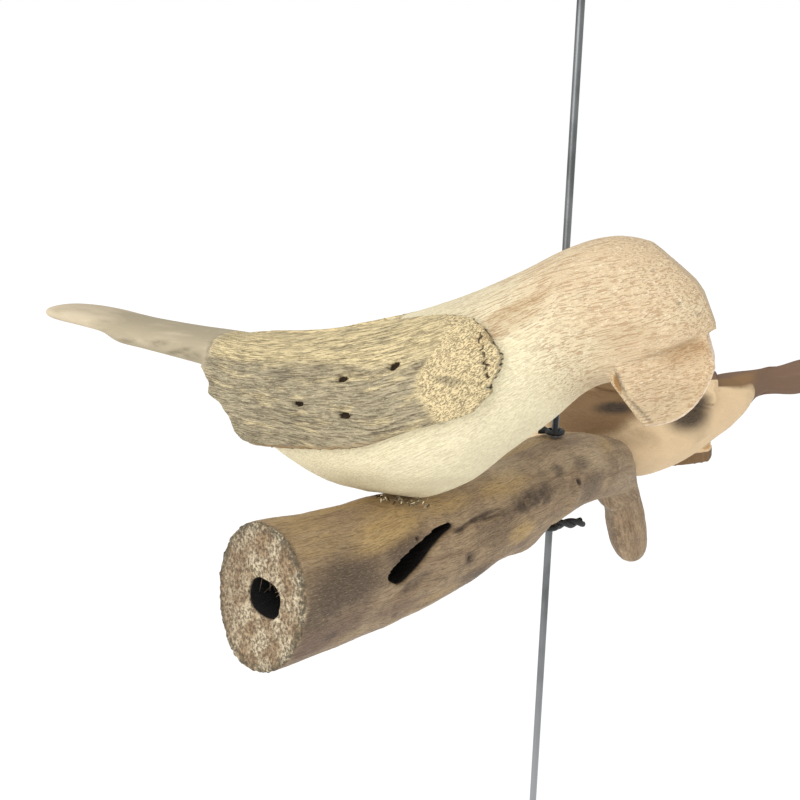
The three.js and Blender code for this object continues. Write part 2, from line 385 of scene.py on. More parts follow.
VOXEL = 0.70  # fine enough for worm holes, and under 200,000 triangles a piece


def bird_block(sweep):
    bm = bmesh.new()
    head_and_body(bm)
    beak(bm)
    tail(bm)
    for side in (1, -1):
        wing(bm, side, sweep)
    return sanded(weld(solid_from(bm, "block"), VOXEL), 1)


# %% [markdown]
# ## Knife cuts
# The carver squared the forehead and the bill with single strokes. A stroke of a knife is a plane, and
# whatever stands beyond it goes. On a mesh that is even already, pressing those vertices back onto the
# plane does the same.

# %% Knife cuts
KNIFE_CUTS = [  # a point on the plane, and the way the plane faces
    ((73.1, 0, 83.6), (0.64, 0, 0.77)),
    ((84.8, 0, 73.8), (0.80, 0, 0.60)),
    ((87.2, 0, 70.6), (0.915, 0, 0.405)),
    ((90.3, 0, 46), (0.93, 0, -0.36)),
]


def press_to_planes(p):
    """Only the head is cut: the planes fade in as x goes from 60 to 70."""
    for point, normal in KNIFE_CUTS:
        n = np.array(normal) / np.linalg.norm(normal)
        beyond = np.maximum(0, (p - np.array(point)) @ n) * step(p[:, 0], 60, 70)
        p -= beyond[:, None] * n
    return p


# %% [markdown]
# ## Finding the old skin again
# The even skin is worked vertex by vertex, so each vertex has to be found again on the wing's shell: how
# far along, how far round, and how many millimetres inside the slab's edge. Selecting faces by hand would
# have to be done anew after every remesh. Whatever is learned is kept under plain names, for the relief and
# the finish to share. The far bird has lost the rear of one wing, and old wood runs over its rump.

# %% Reading a bird
NEVER = -99  # further back than any wing reaches


def slab_coordinates(p, sweep):
    """Angle round the shell, height share, distance inside the slab's edge, closeness to its outer face."""
    middle, top, half = SHELL(p[:, 0])
    across, rise = np.abs(p[:, 1]) / half, (p[:, 2] - middle) / (top - middle)
    angle = np.degrees(np.arctan2(rise, across))
    low, high = LOWER(p[:, 0]), UPPER(p[:, 0])
    v = np.clip((angle - low) / (high - low), 0, 1)
    girth = np.radians(1) * np.hypot(half * across, (top - middle) * rise)
    inside = np.minimum.reduce([
        front_end(v) - p[:, 0],
        p[:, 0] - rear_end(v, sweep),
        (angle - low) * girth,
        (high - angle) * girth,
    ])
    return angle, v, inside, np.hypot(across, rise)


def read_bird(mesh, sweep, side, bare_rump, worn_rear):
    """What is known of each vertex. Slab, ridge, blade, worn and skin are shares from 0 to 1."""
    b = SimpleNamespace()
    b.p, b.n = arrays(mesh)
    b.p = press_to_planes(b.p)
    b.x, b.z = b.p[:, 0].copy(), b.p[:, 2].copy()
    b.angle, b.v, b.inside, b.reach = slab_coordinates(b.p, sweep)
    b.slab = step(b.inside, -0.5, 0.3) * step(b.reach, 0.9, 0.95)
    b.ridge = step(b.angle - UPPER(b.x), -3, 0) * step(b.reach, 0.86, 0.92)
    b.ridge *= (1 - step(b.x + 3 * np.sin(b.x), -6, 0)) * step(b.x, -74, -70)
    sideways = np.abs(b.n[:, 2]) + np.abs(b.n[:, 1])
    b.blade = step(-b.x, bare_rump, bare_rump + 5) * step(sideways, 0, 0.3)
    b.worn = (1 - step(b.x, worn_rear, worn_rear + 9)) * (side * b.p[:, 1] > 0)
    if worn_rear > NEVER:
        b.blade = np.maximum(b.blade, step(b.z + 0.43 * (b.x + 52.8), 31, 33.5) * step(-b.x, 46, 54))
        hem = step(b.inside, -1.6, -0.6) * step(b.reach, 0.72, 0.8) * step(-b.x, 28, 36)
        b.slab = np.maximum(b.slab, hem * (side * b.p[:, 1] < 0))
    b.skin = np.maximum.reduce([b.slab * (1 - b.worn), b.blade, b.ridge])
    return b


# %% [markdown]
# ## Carving the small relief
# Old skin is furrowed along the grain, pitted where its front rotted, cracked behind its torn edge and
# bored by worms. Cut wood shows the faint facets of the knife. Sculpting could make all this too, but a sum
# of smooth noises, pressed in along the normals, can be read and changed.

# %% Relief of a bird
WORM_HOLES = [  # x, angle, half length, half width
    [5, 34.5, 1.7, 1.4],
    [-11, 30.5, 2.0, 1.1],
    [-25, 13.5, 1.9, 1.15],
    [-9, 8.5, 2.1, 1.1],
]
PER_DEGREE = 0.5  # millimetres round the wing's shell, roughly


def carve_relief(b, mesh, seed):
    b.pits = b.slab * step(b.x, 14 + 3 * np.sin(b.v * 9 + seed), 18 + 3 * np.sin(b.v * 7 + seed))
    flow = np.stack([b.x, b.angle * PER_DEGREE, np.zeros_like(b.x)], axis=1)
    furrow = wander(flow, np.array([22, 1.6, 1.0]), seed)
    dents = wander(b.p, 9, seed + 1)
    grit = wander(b.p, 1.5, seed + 2)
    sink = b.slab * (0.16 * furrow + 0.25 * dents + 0.10) + b.pits * 0.28 * grit
    crack_at = 3.4 + 0.9 * np.sin(b.v * 11 + seed) + 0.45 * np.sin(b.v * 53)
    off_crack = np.abs(front_end(b.v) - b.x - crack_at)
    b.crack = b.slab * step(b.v, 0.2, 0.3) * step(-b.v, -0.95, -0.8) * (1 - step(off_crack, 0.1, 1.3))
    b.hole = np.zeros_like(b.x)
    for at, turn, long, wide in WORM_HOLES:
        away = np.hypot((b.x - at) / long, (b.angle - turn) * PER_DEGREE / wide)
        b.hole = np.maximum(b.hole, b.slab * (1 - step(away, 0.75, 1.1)))
    facets = (1 - b.skin) * (0.14 * wander(b.p, 13, seed + 3) + 0.05 * wander(b.p, 2.2, seed + 4))
    b.p -= b.n * (sink + 0.5 * b.crack + 1.8 * b.hole + facets)[:, None]
    mesh.vertices.foreach_set("co", b.p.ravel())


# %% [markdown]
# ## Marks for the finish
# Painting a bird by hand would mean unwrapping it first. Instead each vertex keeps a few numbers that say
# what it is: skin or cut wood, pitted, grey, stained, smudged. Some marks hold painted shade and light: the
# dark of the worm holes, the crack and the line just outside the wing's proud edge, the shade at the throat,
# a highlight on the beak's front, some of the near bird's smudges and the far bird's stains and smudges. The
# finish mixes its colours by them. The grain is a mark as well, a point measured along the wood, so that
# streaks run the way the fibres do.

# %% Marks of a bird
def spots(p, side, table):
    """Soft patches on one side: rows of x, z, half length, half height, strength, tilt in degrees."""
    found = np.zeros(len(p))
    for x, z, long, high, strength, tilt in table:
        dx, dz = p[:, 0] - x, p[:, 2] - z
        c, s = math.cos(math.radians(tilt)), math.sin(math.radians(tilt))
        along, over = dx * c + dz * s, dz * c - dx * s
        blot = strength * (1 - step(np.hypot(along / long, over / high), 0.35, 1.25))
        found = np.maximum(found, blot * (side * p[:, 1] > 0))
    return found


def mark_grain(b, mesh, seed):
    bend = np.where(b.x < 50, 0.55 * b.x, 27.5 + 0.3 * (b.x - 50))
    cut_flow = np.stack([b.x, b.p[:, 1], b.p[:, 2] - bend], axis=1)
    slab_flow = np.stack([b.x, b.angle * PER_DEGREE + 1.2 * wander(b.p, 14, seed), b.reach], axis=1)
    on_skin = np.maximum(b.slab * (1 - b.worn), b.ridge) > 0.5
    off_skin = np.where((b.blade > 0.5)[:, None], b.p, cut_flow)
    mark(mesh, "grain", np.where(on_skin[:, None], slab_flow, off_skin))


def mark_bird(b, mesh, side, stains_and_shade, smudges):
    for name in ("skin", "pits", "blade"):
        mark(mesh, name, getattr(b, name))
    # The rim is a painted shadow: a dark line just outside the wing slab's proud edge. The dark mark is
    # painted shade in the worm holes, in the crack and along that rim.
    rim = (1 - step(np.abs(b.inside + 0.7), 0.3, 1.1)) * step(b.reach, 0.86, 0.93) * step(b.x, -30, 10)
    dark = np.maximum.reduce([b.hole * 1.1, b.crack * 0.82, rim * (1 - b.worn) * 0.85])
    mark(mesh, "dark", np.clip(dark, 0, 1))
    lowness = step(-b.angle, -48, -10) + 0.6 * step(-b.x, 0, 40) - 0.9 * step(b.angle, 38, 55)
    lowness = np.where(b.blade > 0.5, step(b.x, -124, -96), lowness)
    mark(mesh, "grey", np.clip(lowness, 0, 1) * (1 - b.pits))
    neck = 0.45 * step(b.z - 0.9 * b.x, 20, 32) * step(b.x, 0, 40)
    mark(mesh, "blush", step(b.x + 0.5 * b.z, 60, 100) + neck)
    over_brow = b.z - brow_line(b.x)
    # The throat mark is painted shade under the head, below the brow line.
    mark(mesh, "throat", step(b.x, 50, 62) * (1 - step(over_brow, -4, 1)))
    # A painted highlight on the beak's front, on the faces that look forward and down.
    faces_down = step(0.8 * b.n[:, 0] - 0.6 * b.n[:, 2], 0.25, 0.5)
    mark(mesh, "painted_highlight", step(b.x, 72, 80) * (1 - step(over_brow, -3, -1)) * faces_down)
    above_edge = (b.angle - LOWER(b.x)) * PER_DEGREE
    ochre_rim = 0.5 * b.slab * (1 - step(above_edge, 0.8, 3)) * step(-b.x, -30, 40)
    # The stain mark holds the near bird's stains and the far bird's painted shade; the smudge mark holds
    # smudges and painted shade.
    mark(mesh, "stain", np.maximum(spots(b.p, side, stains_and_shade), ochre_rim))
    mark(mesh, "smudge", spots(b.p, side, smudges))


def carve_bird(mesh, sweep, seed, side, stains_and_shade, smudges, bare_rump, worn_rear=NEVER):
    """Carves and marks a bird whose spots lie on one side (1 or -1)."""
    b = read_bird(mesh, sweep, side, bare_rump, worn_rear)
    carve_relief(b, mesh, seed)
    mark_grain(b, mesh, seed)
    mark_bird(b, mesh, side, stains_and_shade, smudges)
    print("carved", len(b.p), "vertices, skin on", round(float(b.skin.mean()), 2))
    return mesh


# %% [markdown]
# ## Setting a bird on the limb
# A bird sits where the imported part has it: at a place on the limb, with a heading, a lean and a dip. It is
# made in its own millimetres, turned, lifted a hair off the limb, scaled to metres and moved to its seat,
# all in one matrix on the mesh, so the object itself stays at the origin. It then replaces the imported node
# and rides where that node rides.

# %% Placing a piece
def finish_piece(mesh, name, node, finish, shift=None):
    """Makes the object, smooth shaded, in metres about the crossing, in place of the CAD node."""
    mesh.transform(Matrix.Translation(CROSSING) @ Matrix.Scale(MM, 4) @ (shift or Matrix.Identity(4)))
    mesh.materials.clear()
    mesh.materials.append(finish)
    mesh.polygons.foreach_set("material_index", [0] * len(mesh.polygons))
    mesh.polygons.foreach_set("use_smooth", [True] * len(mesh.polygons))
    mesh.name = name
    piece = bpy.data.objects.new(name, mesh)
    bpy.context.scene.collection.objects.link(piece)
    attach(piece, "root")
    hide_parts(node)
    places, _ = arrays(mesh)
    low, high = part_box(node)
    over = [*(np.array(low) - places.min(0)) / MM, *(places.max(0) - np.array(high)) / MM]
    triangles = sum(len(f.vertices) - 2 for f in mesh.polygons)
    print(name, "triangles", triangles, "mm outside the CAD node's box", [round(float(d), 1) for d in over])


HAIR = 0.3  # the gap between a bird and the limb


def seat(foot, heading, lean, dip):
    turned = (Matrix.Rotation(math.radians(heading), 3, "Z") @ Matrix.Rotation(math.radians(lean), 3, "X")
              @ Matrix.Rotation(math.radians(dip), 3, "Y"))
    return Matrix.Translation(Vector(foot) + HAIR * turned.col[2]) @ turned.to_4x4()


NEAR_FOOT = (-88, -1, 16.7)
FAR_FOOT = (58, 11, -12)
NEAR_SEAT = seat(NEAR_FOOT, -65, 0, 0)
FAR_SEAT = seat(FAR_FOOT, 112, 55, 13)

# %% [markdown]
# ## Shader sums in Python
# A finish is mostly arithmetic on patterns. Wrapping a node's output in a small class lets the sums be
# written as sums: each operator adds its Math node. Every other kind of node comes from one method that
# takes the node's type, its settings and what goes into its sockets.

# %% The finish maker
class Socket:
    """What comes out of a node. Arithmetic on a number adds Math nodes to its finish."""

    def __init__(self, finish, output):
        self.finish, self.output = finish, output

    def sum_of(self, operation, first, second):
        return self.finish.node("ShaderNodeMath", {"operation": operation}, {0: first, 1: second})

    def __add__(self, other):
        return self.sum_of("ADD", self, other)

    def __sub__(self, other):
        return self.sum_of("SUBTRACT", self, other)

    def __rsub__(self, other):
        return self.sum_of("SUBTRACT", other, self)

    def __mul__(self, other):
        return self.sum_of("MULTIPLY", self, other)

    __radd__, __rmul__ = __add__, __mul__


class Finish:
    """A Principled material: what is the same all over is given once, the rest is built by the methods."""

    def __init__(self, name, **constants):
        self.material = bpy.data.materials.new(name)
        self.material.use_nodes = True
        self.tree = self.material.node_tree
        self.shader = self.tree.nodes["Principled BSDF"]
        for socket, value in constants.items():
            self.shader.inputs[socket.replace("_", " ")].default_value = value

    def node(self, kind, settings=None, inputs=None, output=0):
        made = self.tree.nodes.new(kind)
        for name, value in (settings or {}).items():
            setattr(made, name, value)
        for key, value in (inputs or {}).items():
            if isinstance(value, Socket):
                self.tree.links.new(value.output, made.inputs[key])
            else:
                made.inputs[key].default_value = value
        return Socket(self, made.outputs[output])

    def mark(self, name, output="Fac"):
        return self.node("ShaderNodeAttribute", {"attribute_name": name}, output=output)

    def place(self):
        """Where a point lies on the object, in metres."""
        return self.node("ShaderNodeTexCoord", output="Object")

    def stretched(self, vector, size):
        """The vector in units of size along each axis."""
        by = tuple(1 / s for s in size)
        return self.node("ShaderNodeVectorMath", {"operation": "MULTIPLY"}, {0: vector, 1: by})

    def noise(self, vector, size, detail=2.0, rough=0.5):
        inputs = {"Vector": self.stretched(vector, size), "Scale": 1.0, "Detail": detail, "Roughness": rough}
        return self.node("ShaderNodeTexNoise", {}, inputs)

    def step(self, value, low, high):
        smoothstep = {"interpolation_type": "SMOOTHSTEP"}
        return self.node("ShaderNodeMapRange", smoothstep, {0: value, 1: low, 2: high})

    def mix(self, share, a, b):
        """Colour a where share is 0 and b where it is 1. The node's colour sockets are its 6, 7 and 2."""
        return self.node("ShaderNodeMix", {"data_type": "RGBA"}, {0: share, 6: a, 7: b}, output=2)

    def done(self, color, roughness=None, height=None):
        """Height is in millimetres."""
        self.tree.links.new(color.output, self.shader.inputs["Base Color"])
        if roughness is not None:
            self.tree.links.new(roughness.output, self.shader.inputs["Roughness"])
        if height is not None:
            bump = self.node("ShaderNodeBump", {}, {"Strength": 1.0, "Distance": MM, "Height": height})
            self.tree.links.new(bump.output, self.shader.inputs["Normal"])
        return self.material


def paint(red, green, blue):
    """A colour as it looks on a screen, 0 to 255, as the light values that a shader takes."""
    return (*(((c / 255 + 0.055) / 1.055) ** 2.4 if c > 10 else c / 3295 for c in (red, green, blue)), 1.0)


def shade(tone, by):
    """A tone made darker by multiplying it."""
    return paint(*(c * by for c in tone))


# %% [markdown]
# ## Cut wood and natural skin
# Both finishes of a bird lie on one mesh, mixed by the marks that the carving left. Cut wood is pale cream,
# turning pinkish at the head, with short brown pores that follow the grain. Old skin is streaked from straw
# to slate with fine dark lines, and where it rotted it is sandy and full of pin-sized pits. A streak is
# nothing but noise that is stretched along the grain.

# %% Patterns that follow the grain
def wood_patterns(f):
    """From wide clouds to hairs. Sizes are millimetres along the grain, across it and into the wood."""
    grain = f.mark("grain", "Vector")
    return SimpleNamespace(
        grain=grain,
        clouds=f.noise(grain, (30, 12, 9), 3),
        pores=f.step(f.noise(grain, (9, 0.5, 0.42), 2, 0.6), 0.52, 0.62),
        fuzz=f.noise(grain, (1.1, 0.42, 0.38), 2, 0.7),
        flecks=f.step(f.noise(grain, (1.8, 0.4, 0.36), 2, 0.7), 0.55, 0.64),
        bands=f.noise(grain, (20, 2.8, 3), 4, 0.6),
        lines=f.step(f.noise(grain, (4.6, 0.36, 2), 3, 0.65), 0.50, 0.60),
        hairs=f.step(f.noise(grain, (3.0, 0.26, 2), 2, 0.6), 0.50, 0.62),
        dots=f.step(f.noise(grain, (0.56, 0.30, 2), 2, 0.7), 0.49, 0.60),
    )


# %% Cut wood
def cut_wood(f, g, crisp, tones):
    """Pale wood under the knife. Pores and flecks grow denser where it turns ruddy."""
    ruddy = f.mark("blush")
    cut = f.mix(ruddy, paint(*tones.wood), paint(*tones.blush))
    cut = f.mix(f.step(g.clouds, 0.35, 0.7) * 0.35, cut, shade(tones.wood, 0.93))
    strength = g.pores * (0.12 + 0.60 * f.step(ruddy, 0.02, 0.40)) * f.step(g.clouds, 0.22, 0.48) * crisp
    cut = f.mix(strength, cut, paint(172, 130, 90))
    cut = f.mix(g.flecks * ruddy * 0.36 * crisp, cut, paint(150, 108, 74))
    cut = f.mix(f.step(g.fuzz, 0.56, 0.34) * 0.42 * crisp, cut, shade(tones.wood, 0.84))
    cut = f.mix(f.step(g.fuzz, 0.54, 0.70) * 0.45 * crisp, cut, paint(255, 249, 226))
    # Painted shade at the throat, under the head, a darker brown in clouds.
    cut = f.mix(f.mark("throat") * f.step(g.clouds, 0.3, 0.6) * 0.32, cut, paint(146, 112, 76))
    # A painted highlight on the beak's front facets.
    return f.mix(f.mark("painted_highlight") * 0.8, cut, paint(242, 220, 196))


# %% Old skin
def old_wood(f, g, crisp, tones):
    """Straw streaked with slate, sandy where it is pitted. Gives the colour and the dark marks in it."""
    pits, blade, grey = f.mark("pits"), f.mark("blade"), f.mark("grey")
    old = f.mix(f.step(g.bands * 0.7 + grey * 0.48, 0.34, 0.74), paint(*tones.straw), paint(*tones.slate))
    shadows = f.step(f.noise(g.grain, (10, 2.6, 3), 3), 0.52, 0.68)
    old = f.mix(shadows * 0.45, old, shade(tones.slate, 0.74))
    lights = f.step(f.noise(g.grain, (9, 2.4, 3), 3), 0.52, 0.70)
    old = f.mix(lights * 0.60, old, paint(*tones.straw))
    old = f.mix(pits, old, paint(*tones.sandy))
    lower = f.step(f.noise(g.grain, (14, 4, 3), 3) + 0.4 * grey, 0.45, 0.90)
    old = f.mix(blade, old, f.mix(lower, paint(*tones.tail_top), paint(*tones.tail_low)))
    streaks = (g.lines * 0.52 + g.hairs * 0.34) * (1 - 0.8 * pits) * (1 - 0.95 * blade)
    marks = (streaks + g.dots * pits * 0.62) * crisp
    old = f.mix(marks, old, paint(*tones.line))
    old = f.mix(f.step(g.fuzz, 0.55, 0.72) * 0.34 * (1 - blade) * crisp, old, paint(250, 232, 190))
    return old, marks


# %% Finish of a bird
def bird_finish(name, crisp, tones):
    """Crisp, from 0 to 1, is how sharply pores and lines are drawn."""
    f = Finish(name, Roughness=0.72, Specular_IOR_Level=0.32)
    g = wood_patterns(f)
    skin, stain_and_shade_share, smudged, dark = f.mark("skin"), f.mark("stain"), f.mark("smudge"), f.mark("dark")
    old, marks = old_wood(f, g, crisp, tones)
    color = f.mix(f.step(skin, 0.3, 0.7), cut_wood(f, g, crisp, tones), old)
    # Stains, and on the far bird painted shade, in the stain tone.
    patchy = stain_and_shade_share + 0.4 * g.clouds + (g.fuzz - 0.5) * crisp
    color = f.mix(f.step(patchy, 0.25, 1.0) * f.step(stain_and_shade_share, 0, 0.2), color, paint(*tones.stain))
    # Smudges, and painted shade on both birds, in the smudge tone.
    color = f.mix(smudged * (1 - 0.4 * crisp + 0.4 * crisp * g.lines), color, paint(*tones.smudge))
    # Painted shade, near black brown: in the worm holes, in the crack, just outside the wing's proud edge
    # and on the dark fibres under the belly.
    painted_shade = f.step(dark * (0.8 + 0.4 * g.fuzz), 0.50, 0.85)
    color = f.mix(painted_shade, color, paint(52, 38, 24))
    rough = 0.70 + 0.16 * skin + 0.08 * g.pores
    depth = (0.10 * g.fuzz - 0.08 * g.pores) * (1 - skin) - skin * (marks * 0.22 + painted_shade * 0.3)
    return f.done(color, rough, depth)


NEAR_TONES = SimpleNamespace(
    wood=(236, 225, 188), blush=(212, 185, 148), straw=(228, 208, 160), slate=(168, 156, 128),
    sandy=(230, 209, 162), line=(88, 74, 56), stain=(160, 120, 72), smudge=(100, 90, 74),
    tail_top=(201, 186, 159), tail_low=(172, 160, 134),
)
# On the far bird the stain and smudge tones colour painted shade.
FAR_TONES = SimpleNamespace(
    wood=(232, 203, 161), blush=(224, 190, 148), straw=(142, 118, 91), slate=(120, 99, 78),
    sandy=(150, 126, 92), line=(92, 76, 58), stain=(132, 104, 72), smudge=(58, 48, 39),
    tail_top=(134, 110, 92), tail_low=(118, 94, 76),
)
near_finish = bird_finish("near_bird_wood", 1.0, NEAR_TONES)
far_finish = bird_finish("far_bird_wood", 0.35, FAR_TONES)
print("bird finishes have", [len(m.node_tree.nodes) for m in (near_finish, far_finish)], "nodes")

# %% [markdown]
# ## Torn fibres under the near bird
# Where the near bird was pressed on the limb, the cut left a fringe of torn fibres. Hair would grow them
# too, but each is thick enough to be a thin cone, and a few dozen cones at random tilts, joined to the
# bird's own mesh, are simple and stay part of the one piece. The random draws are seeded, so every run
# gives the same.

# %% Fibres
def fringe(mesh, count, seed, layer, place_one):
    """Adds thin fibres: place_one gives the foot, direction, length, thickness and darkness of each."""
    dice = random.Random(seed)
    bm = bmesh.new()
    bm.from_mesh(mesh)
    darkness = bm.verts.layers.float[layer]
    for _ in range(count):
        foot, away, length, thick, brown = place_one(dice)
        tilt = away.to_track_quat("Z", "Y").to_matrix().to_4x4()
        where_to = Matrix.Translation(foot + away * length / 2) @ tilt
        made = bmesh.ops.create_cone(bm, cap_ends=True, segments=5, radius1=thick, radius2=thick * 0.3,
                                     depth=length, matrix=where_to)
        for v in made["verts"]:
            v[darkness] = brown
    bm.to_mesh(mesh)
    bm.free()
    return mesh


def belly_fibre(dice):
    x = dice.uniform(-7, 13)
    round_foot = math.radians(dice.uniform(-150, -30))
    foot = Vector((x, 11.5 * math.sin(round_foot), dice.uniform(0.6, 1.8)))
    away = Vector((dice.uniform(-0.9, 0.9), dice.uniform(-0.5, 0.1), dice.uniform(-0.7, -0.1))).normalized()
    length, thick = dice.uniform(0.6, 1.6), dice.uniform(0.14, 0.34)
    # Most fibres get a high darkness: painted shade along the line where the belly meets the limb.
    return foot, away, length, thick, dice.choice((0.0, 0.7, 0.75, 0.8, 0.9))


# %% [markdown]
# ## The near bird
# Weather and handling left stains that no even pattern has: a few ochre runs on the back and smudges along
# the wing. The dark line behind the beak is partly a stain and partly painted shade along the beak's rear
# edge, and the dark spots along the tail's underside and a faint darkening along the top of the back are
# painted shade. Each is one row with a place, a size, a strength and a tilt. With those rows the near bird
# is complete.

# %% The near bird
NEAR_STAINS = [
    [66.7, 45.6, 3.4, 1.0, 1.0, -69],
    [83.5, 55.6, 9.5, 4.6, 0.40, 22],
    [68, 60, 10, 5, 0.22, 12],
    [36, 61, 16, 3, 0.30, 30],
    [38, 66, 14, 2.2, 0.35, 30],
]
NEAR_SMUDGES_AND_SHADE = [
    # Painted shade: a faint darkening along the top of the back.
    [12, 62, 28, 6, 0.12, 24],
    # Painted shade along the beak's rear edge, in this row and the next.
    [67.4, 46.2, 5.2, 0.7, 0.9, -64],
    [73.2, 38.4, 5.8, 0.7, 0.9, -43],
    # Painted shade: dark spots along the tail's underside and its root, in this row and the next three.
    [-102, 45.8, 6, 1.3, 0.45, 10],
    [-86.8, 46.2, 5, 1.6, 0.40, 10],
    [-79, 44.0, 7, 1.2, 0.65, 14],
    [-73, 43.0, 5, 2.0, 0.45, 0],
    # Smudges along the wing.
    [22, 46.4, 5, 1.4, 0.85, -4],
    [19, 34, 3.5, 1.1, 0.6, -20],
    [-20, 46.5, 5.5, 1.8, 0.55, 0],
    [-32, 42, 8, 1.4, 0.6, -4],
    [-30, 30, 14, 3.0, 0.35, 0],
    [-48, 20, 9, 2.0, 0.4, 0],
    [86.1, 66.3, 0.8, 0.6, 0.7, 0],
    [80.8, 69.3, 0.8, 0.5, 0.7, 0],
    [73.7, 77.4, 0.8, 0.5, 0.6, 0],
]
near_mesh = carve_bird(bird_block(1.0), 1.0, 1.7, -1, NEAR_STAINS, NEAR_SMUDGES_AND_SHADE, bare_rump=63)
near_mesh = fringe(near_mesh, 46, 5, "dark", belly_fibre)
finish_piece(near_mesh, "near_bird_carved", "near_bird", near_finish, NEAR_SEAT)

# %% [markdown]
# ## The far bird
# The far bird is the near one's brother: the same forms from the same tables, with a straighter end to its
# wings and darker skin. Its golden and dark patches on the lower breast, the belly and the rump below the
# tail are painted shade. Its rump is fuller and its tail cocked higher, which is a bend of the finished
# block, and cheaper than a second set of tables.

# %% The far bird
# Painted shade, golden brown: on the lower breast, under the belly and on the rump below the tail.
FAR_PAINTED_SHADE = [
    [2, 17, 27, 12.5, 1.0, 0],
    [-15, 6.5, 17, 5, 0.30, 0],
    [-64.5, 39.5, 15, 4, 0.7, -23],
    [-42, 18, 13, 6.5, 0.45, -26],
]
# Darker painted shade inside those patches, on the lower breast and the belly.
FAR_DARK_PAINTED_SHADE = [
    [-8, 16.3, 11, 3.3, 1.0, 0],
    [-41, 16.5, 12, 4.4, 1.0, -26],
]


def lifted_tail(mesh):
    """Lifts the tail behind its root, fills out the rump and draws the root in from below and one side."""
    p, _ = arrays(mesh)
    x, y, z = p.T.copy()
    p[:, 2] += 4.5 * step(-x, 72, 83) * lerp(1 - step(z, 42, 50), 1, step(-x, 80, 100))
    root = step(-x, 69, 78) * (1 - step(-x, 81, 98))
    p[:, 1] += 3.5 * root * (y < 0) * step(-y, 2, 9)
    p[:, 2] += 2.6 * root * (1 - step(z, 40, 48))
    p[:, 2] -= 2.6 * step(-x, 52, 64) * (1 - step(-x, 74, 78)) * (1 - step(p[:, 2], 30, 42))
    mesh.vertices.foreach_set("co", p.ravel())
    return mesh


far_mesh = lifted_tail(bird_block(0.2))
far_mesh = carve_bird(far_mesh, 0.2, 6.1, 1, FAR_PAINTED_SHADE, FAR_DARK_PAINTED_SHADE, bare_rump=76, worn_rear=-40)
finish_piece(far_mesh, "far_bird_carved", "far_bird", far_finish, FAR_SEAT)

# %% [markdown]
# ## The limb
# The limb is a length of driftwood: sawn off at one end, bent down at the other, where a side shoot
# hangs. It has lost its bark and is worn smooth, but keeps its history in hollows and furrows. The same
# ball-to-form idea makes the trunk, and smoothing round the crotch alone lets the shoot grow out of it. The
# pith hole and the knot's hollow are cut with a Boolean, as a rasp would, and a second remesh makes the
# skin even again.

# %% Limb
SAWN_END, ELBOW = -147, 64
SAW_LEAN = 0.2  # how far the cut runs in, for each millimetre up
LIMB = through([  # x, middle across, middle height, half width, half height
    [-153, 0.5, -0.6, 20.3, 21.2],
    [-140, 0.3, -1.0, 20.8, 22.1],
    [-112, 0, -2.8, 21, 21],
    [-89, 0, -3.4, 21, 19.8],
    [-64, -0.5, -2.8, 21, 19.2],
    [-34, -0.5, -0.8, 19.6, 17.2],
    [0, 0, -0.3, 19, 17],
    [26, 0, -0.8, 17.7, 14.6],
    [50, 3, -6.2, 15.5, 14.2],
    [62, 5.2, -12, 12.5, 12],
])
# How much the top and the underside are lifted from the plain form: x, height.
RISE = through([[-32, 0], [-20, 1.2], [-9, 2.2], [0, 2.2], [10, 2.0], [24, 1.0], [38, 0], [50, 0]])
TUCK = through([
    [-70, 0], [-57, 1.8], [-46, 0.2], [-39, -1.9], [-33, -3], [-27, -0.5], [-23, 1.8], [-12, 2.6], [-4, 3.6],
    [6, 4.1], [16, 3.2], [25, 1.2], [34, 0],
])
SPARE = 30  # wood beyond the sawn end, before it is sawn
KNOT_ENDS = (-114.6, -79)
KNOT_SIDE = -20  # how far aside the knot lies, in the near flank
KNOT = through([  # x, bottom, top, half depth
    [-114.6, 0.4, 3.2, 8],
    [-110, -2.0, 4.8, 13],
    [-107, -1.9, 5.8, 15],
    [-103.3, -0.6, 6.9, 16],
    [-98.4, 1.4, 7.8, 16],
    [-92.8, 4.0, 8.5, 15],
    [-88.5, 5.4, 9.2, 14],
    [-84, 6.5, 9.2, 12],
    [-79, 7.2, 8.2, 9],
])


def lump(x, around):
    """The limb's girth wanders by a few hundredths."""
    return 1 + 0.025 * np.sin(3 * around + x / 21) + 0.015 * np.sin(x / 9)


def trunk(bm):
    verts = bmesh.ops.create_uvsphere(bm, u_segments=200, v_segments=300, radius=1)["verts"]
    ball = where(verts)
    x = lerp(SAWN_END - SPARE, ELBOW, (1 + ball[:, 2]) / 2)
    around = np.arctan2(ball[:, 1], ball[:, 0])
    cap = rounded_end(ball[:, 2], 9)
    my, mz, hy, hz = LIMB(x)
    swell = lump(x, around) * cap
    saddle = NEAR_FOOT[2] + 0.25 * np.maximum(0, np.abs(x - NEAR_FOOT[0]) - 13)
    z = np.minimum(mz + hz * swell * np.sin(around), saddle)
    z += RISE(x) * step(np.sin(around), 0.35, 0.95) + TUCK(x) * step(-np.sin(around), 0.1, 0.9)
    put(verts, x, my + hy * swell * np.cos(around), z)


STUB, STUB_RADIUS, STUB_DIP = 56, 9.4, math.radians(66)
CROTCH = (48, 0, -18)


def stub(bm):
    """The side shoot, and a ball that fills its crotch for the sanding to round off."""
    def section(x):
        radius = np.full_like(x, STUB_RADIUS)
        return -radius, radius, radius

    verts = long_form(bm, 0, STUB, section, 100, 90, blunt=3)
    bmesh.ops.rotate(bm, verts=verts, cent=(0, 0, 0), matrix=Matrix.Rotation(STUB_DIP, 3, "Y"))
    bmesh.ops.translate(bm, verts=verts, vec=(51.8, 0, -7.6))
    in_crotch = Matrix.Translation((49.6, 0, -20)) @ Matrix.Diagonal((7.0, 8.0, 7.0, 1))
    bmesh.ops.create_uvsphere(bm, u_segments=40, v_segments=30, radius=1, matrix=in_crotch)


PITH_DEPTH = 48
PITH_ASIDE = -2  # the pith lies a little off the middle


